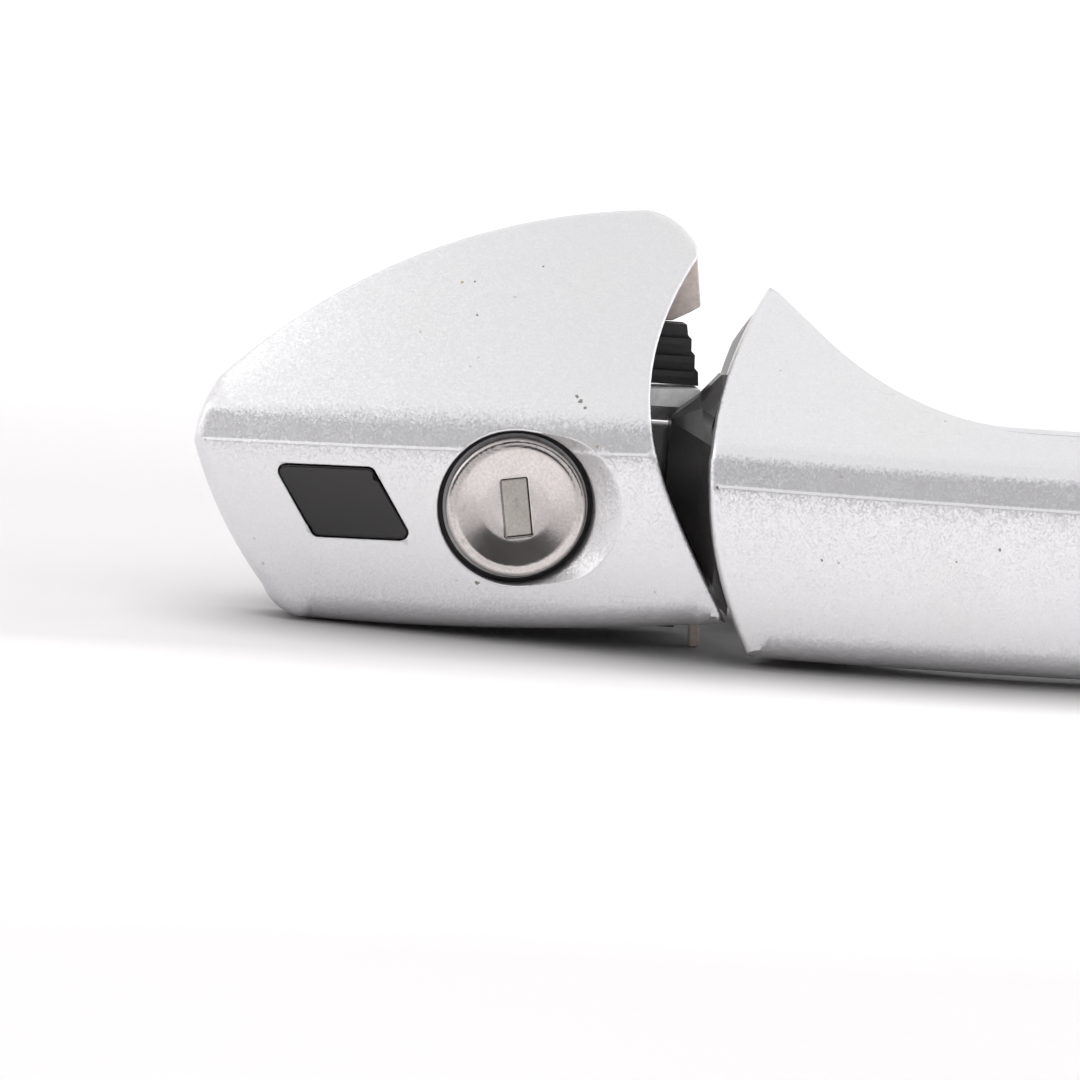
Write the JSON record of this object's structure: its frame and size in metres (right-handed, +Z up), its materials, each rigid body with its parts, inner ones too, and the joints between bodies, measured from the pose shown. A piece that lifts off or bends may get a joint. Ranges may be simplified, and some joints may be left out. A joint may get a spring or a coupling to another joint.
{
  "type": "car door handle",
  "caption": "Painted bow-type car door handle: fixed rear cap with lock and window, hinged pull grip, slim carrier with bell crank behind the door skin.",
  "frame": {"origin": "midway between the two threaded fixing holes, on the carrier face that bears on the inside of the door skin", "axes": "+X along the handle from the lock end to the hinge end, -Y out of the door towards the hand, +Z up with the swept upper face on top"},
  "size_m": [0.2604, 0.0747, 0.0663],
  "materials": {
    "silver_paint": "metallic flake clear coat",
    "gloss_window": "high gloss",
    "satin_steel": "satin",
    "zinc_cast": "as cast zinc alloy",
    "black_plastic": "fine grain",
    "grey_plastic": "moulded",
    "seal_rubber": "matt",
    "plated_steel": "zinc plated",
    "brass": "turned",
    "spring_steel": "oiled"
  },
  "bodies": {
    "carrier": {"carrier_frame": "black_plastic", "carrier_inserts": "brass", "grip_hinge_pin": "plated_steel", "front_base_seal": "seal_rubber", "rear_base_seal": "seal_rubber", "cap_shell": "silver_paint", "ir_window": "gloss_window", "ir_receiver": "black_plastic", "lock_housing": "zinc_cast", "cap_screw": "plated_steel", "lock_seal_ring": "seal_rubber", "buffer_bracket": "plated_steel", "ribbed_buffer": "black_plastic", "crank_pin": "plated_steel", "crank_return_spring": "spring_steel", "lock_return_spring": "spring_steel"},
    "grip": {"grip_outer_shell": "silver_paint", "grip_inner_shell": "silver_paint", "grip_screws": "plated_steel", "grip_core": "grey_plastic", "grip_end_plug": "black_plastic", "grip_rear_arm": "plated_steel", "grip_front_foot": "zinc_cast"},
    "bell_crank": {"bell_crank": "grey_plastic", "counterweight": "plated_steel", "crank_bushes": "brass"},
    "lock_plug": {"plug_barrel": "brass", "lock_wafers": "brass", "lock_face_cap": "satin_steel", "shutter_pin": "plated_steel", "tailpiece": "zinc_cast", "tailpiece_clip": "spring_steel"},
    "key_shutter": {"shutter_flap": "satin_steel"}
  },
  "joints": [
    {"name": "grip_pull", "type": "hinge", "parent": "carrier", "child": "grip", "pos_m": [0.118, 0.007, 0], "axis": [0, 0, 1], "range_deg": [0, 9], "stiffness_Nm_per_rad": 6, "springref_deg": -6.88},
    {"name": "bell_crank_turn", "type": "hinge", "parent": "carrier", "child": "bell_crank", "pos_m": [-0.053, 0.018, -0.014], "axis": [1, 0, 0], "range_deg": [0, 70], "deforming": ["crank_return_spring"]},
    {"name": "lock_turn", "type": "hinge", "parent": "carrier", "child": "lock_plug", "pos_m": [-0.0816, 0, 0], "axis": [0, 1, 0], "range_deg": [-45, 45], "stiffness_Nm_per_rad": 0.05, "deforming": ["lock_return_spring"]},
    {"name": "shutter_swing", "type": "hinge", "parent": "lock_plug", "child": "key_shutter", "pos_m": [-0.08347, -0.0203, -0.00032], "axis": [-0.1685, 0, 0.9857], "range_deg": [0, 78], "stiffness_Nm_per_rad": 0.0005, "springref_deg": -17.19}
  ],
  "couplings": [
    {"joint": "bell_crank_turn", "follows": "grip_pull", "ratio": 7.7777}
  ]
}
